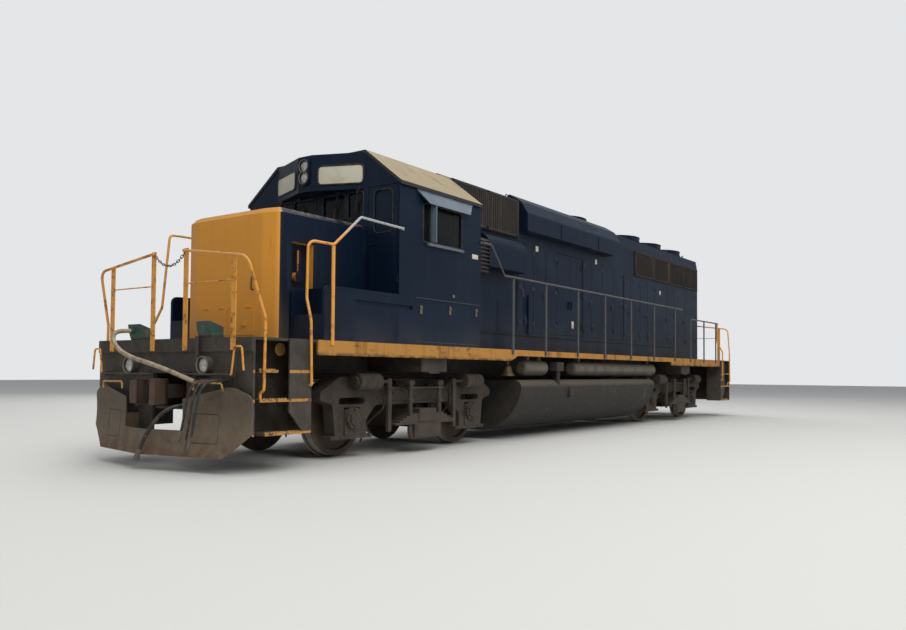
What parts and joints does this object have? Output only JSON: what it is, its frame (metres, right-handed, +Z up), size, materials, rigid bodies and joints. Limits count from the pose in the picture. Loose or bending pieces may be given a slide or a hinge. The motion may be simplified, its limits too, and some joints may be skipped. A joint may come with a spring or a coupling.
{
  "type": "diesel locomotive",
  "caption": "Four-axle diesel-electric road locomotive with a low nose, side-windowed cab and long hood on two swivelling trucks.",
  "frame": {"origin": "on the floor under the middle of the locomotive, at the tips of the wheel flanges", "axes": "+X to the nose end, +Y to the left side, +Z up"},
  "size_m": [18.1212, 3.268, 4.5279],
  "materials": {
    "underframe_black": "dusty black paint",
    "sill_yellow": "weathered yellow paint with rust streaks",
    "plow_grey": "scuffed black paint",
    "tank_grey": "dusty black paint",
    "nose_yellow": "satin yellow paint",
    "body_navy": "satin navy paint",
    "roof_cream": "faded cream paint",
    "window_glass": "dusty glass",
    "cab_grey": "satin paint",
    "awning_blue": "faded blue paint",
    "engine_grey": "painted",
    "grille_brown": "dusty brown",
    "rail_black": "worn black paint",
    "rail_yellow": "worn yellow paint",
    "lamp_silver": "polished reflector",
    "fan_steel": "dusty paint",
    "truck_grey": "dusty cast steel",
    "wheel_steel": "brown steel with a bright tread",
    "hose_rubber": "dusty black rubber",
    "cable_cream": "cream jacket with grime",
    "coupler_steel": "rusty cast steel"
  },
  "bodies": {
    "body": {"main_frame": "underframe_black", "side_sills": "sill_yellow", "pilots": "underframe_black", "snow_plow": "plow_grey", "fuel_tank": "tank_grey", "air_reservoirs": "tank_grey", "nose": "nose_yellow", "battery_boxes": "body_navy", "cab_shell": "body_navy", "cab_roof": "roof_cream", "number_board_box": "body_navy", "cab_glass": "window_glass", "cab_interior": "cab_grey", "awnings": "awning_blue", "intake_hood": "body_navy", "engine_hood": "body_navy", "engine_block": "engine_grey", "brake_blister": "body_navy", "radiator_hood": "body_navy", "air_grilles": "grille_brown", "fan_cowls": "body_navy", "side_handrails": "rail_black", "end_handrails": "rail_yellow", "step_rails": "rail_yellow", "lamps": "lamp_silver", "horn": "fan_steel", "bell": "tank_grey", "end_fittings": "underframe_black", "jumper_cable": "cable_cream", "front_brake_hose": "hose_rubber", "control_hose_1": "hose_rubber", "control_hose_2": "hose_rubber", "control_hose_3": "hose_rubber", "hose_couplings": "coupler_steel"},
    "front_truck": {"front_truck_frame": "truck_grey", "front_bolster": "truck_grey", "front_brakes": "truck_grey", "front_motors": "truck_grey"},
    "wheelset_1": {"wheelset_1": "wheel_steel"},
    "wheelset_2": {"wheelset_2": "wheel_steel"},
    "front_coupler": {"front_coupler": "coupler_steel"},
    "front_knuckle": {"front_knuckle": "coupler_steel"},
    "rear_truck": {"rear_truck_frame": "truck_grey", "rear_bolster": "truck_grey", "rear_brakes": "truck_grey", "rear_motors": "truck_grey"},
    "wheelset_3": {"wheelset_3": "wheel_steel"},
    "wheelset_4": {"wheelset_4": "wheel_steel"},
    "rear_coupler": {"rear_coupler": "coupler_steel"},
    "rear_knuckle": {"rear_knuckle": "coupler_steel"},
    "radiator_fan_1": {"radiator_fan_1": "fan_steel"},
    "radiator_fan_2": {"radiator_fan_2": "fan_steel"},
    "radiator_fan_3": {"radiator_fan_3": "fan_steel"},
    "brake_fan": {"brake_fan": "fan_steel"},
    "front_cab_door": {"front_cab_door": "body_navy"},
    "rear_cab_door": {"rear_cab_door": "body_navy"},
    "left_engine_door_front": {"left_engine_door_front": "body_navy"},
    "left_engine_door_rear": {"left_engine_door_rear": "body_navy"},
    "right_engine_door_front": {"right_engine_door_front": "body_navy"},
    "right_engine_door_rear": {"right_engine_door_rear": "body_navy"}
  },
  "joints": [
    {"name": "front_truck_swivel", "type": "hinge", "parent": "body", "child": "front_truck", "pos_m": [5.1815, 0, 1.038], "axis": [0, 0, 1], "range_deg": [-6, 6]},
    {"name": "wheelset_1_roll", "type": "hinge", "parent": "front_truck", "child": "wheelset_1", "pos_m": [6.553, 0, 0.536], "axis": [0, 1, 0], "continuous": true},
    {"name": "wheelset_2_roll", "type": "hinge", "parent": "front_truck", "child": "wheelset_2", "pos_m": [3.81, 0, 0.536], "axis": [0, 1, 0], "continuous": true},
    {"name": "front_coupler_swing", "type": "hinge", "parent": "body", "child": "front_coupler", "pos_m": [7.95, 0, 0.904], "axis": [0, 0, 1], "range_deg": [-7, 7]},
    {"name": "front_knuckle_open", "type": "hinge", "parent": "front_coupler", "child": "front_knuckle", "pos_m": [8.905, -0.118, 0.904], "axis": [0, 0, -1], "range_deg": [0, 45]},
    {"name": "rear_truck_swivel", "type": "hinge", "parent": "body", "child": "rear_truck", "pos_m": [-5.1815, 0, 1.038], "axis": [0, 0, 1], "range_deg": [-6, 6]},
    {"name": "wheelset_3_roll", "type": "hinge", "parent": "rear_truck", "child": "wheelset_3", "pos_m": [-3.81, 0, 0.536], "axis": [0, 1, 0], "continuous": true},
    {"name": "wheelset_4_roll", "type": "hinge", "parent": "rear_truck", "child": "wheelset_4", "pos_m": [-6.553, 0, 0.536], "axis": [0, 1, 0], "continuous": true},
    {"name": "rear_coupler_swing", "type": "hinge", "parent": "body", "child": "rear_coupler", "pos_m": [-7.95, 0, 0.904], "axis": [0, 0, 1], "range_deg": [-7, 7]},
    {"name": "rear_knuckle_open", "type": "hinge", "parent": "rear_coupler", "child": "rear_knuckle", "pos_m": [-8.905, 0.118, 0.904], "axis": [0, 0, -1], "range_deg": [0, 45]},
    {"name": "radiator_fan_1_spin", "type": "hinge", "parent": "body", "child": "radiator_fan_1", "pos_m": [-4.08, 0, 4.393], "axis": [0, 0, 1], "continuous": true},
    {"name": "radiator_fan_2_spin", "type": "hinge", "parent": "body", "child": "radiator_fan_2", "pos_m": [-5.48, 0, 4.393], "axis": [0, 0, 1], "continuous": true},
    {"name": "radiator_fan_3_spin", "type": "hinge", "parent": "body", "child": "radiator_fan_3", "pos_m": [-6.88, 0, 4.393], "axis": [0, 0, 1], "continuous": true},
    {"name": "brake_fan_spin", "type": "hinge", "parent": "body", "child": "brake_fan", "pos_m": [-1.15, 0, 4.393], "axis": [0, 0, 1], "continuous": true},
    {"name": "front_cab_door_hinge", "type": "hinge", "parent": "body", "child": "front_cab_door", "pos_m": [6.1093, 1.498, 2.928], "axis": [0, 0, 1], "range_deg": [0, 90]},
    {"name": "rear_cab_door_hinge", "type": "hinge", "parent": "body", "child": "rear_cab_door", "pos_m": [4.1207, -1.498, 2.928], "axis": [0, 0, 1], "range_deg": [0, 90]},
    {"name": "left_engine_door_front_hinge", "type": "hinge", "parent": "body", "child": "left_engine_door_front", "pos_m": [0.508, 0.9093, 2.728], "axis": [0, 0, -1], "range_deg": [0, 150]},
    {"name": "left_engine_door_rear_hinge", "type": "hinge", "parent": "body", "child": "left_engine_door_rear", "pos_m": [-0.568, 0.9093, 2.728], "axis": [0, 0, 1], "range_deg": [0, 150]},
    {"name": "right_engine_door_front_hinge", "type": "hinge", "parent": "body", "child": "right_engine_door_front", "pos_m": [0.508, -0.9093, 2.728], "axis": [0, 0, 1], "range_deg": [0, 150]},
    {"name": "right_engine_door_rear_hinge", "type": "hinge", "parent": "body", "child": "right_engine_door_rear", "pos_m": [-0.568, -0.9093, 2.728], "axis": [0, 0, -1], "range_deg": [0, 150]}
  ]
}
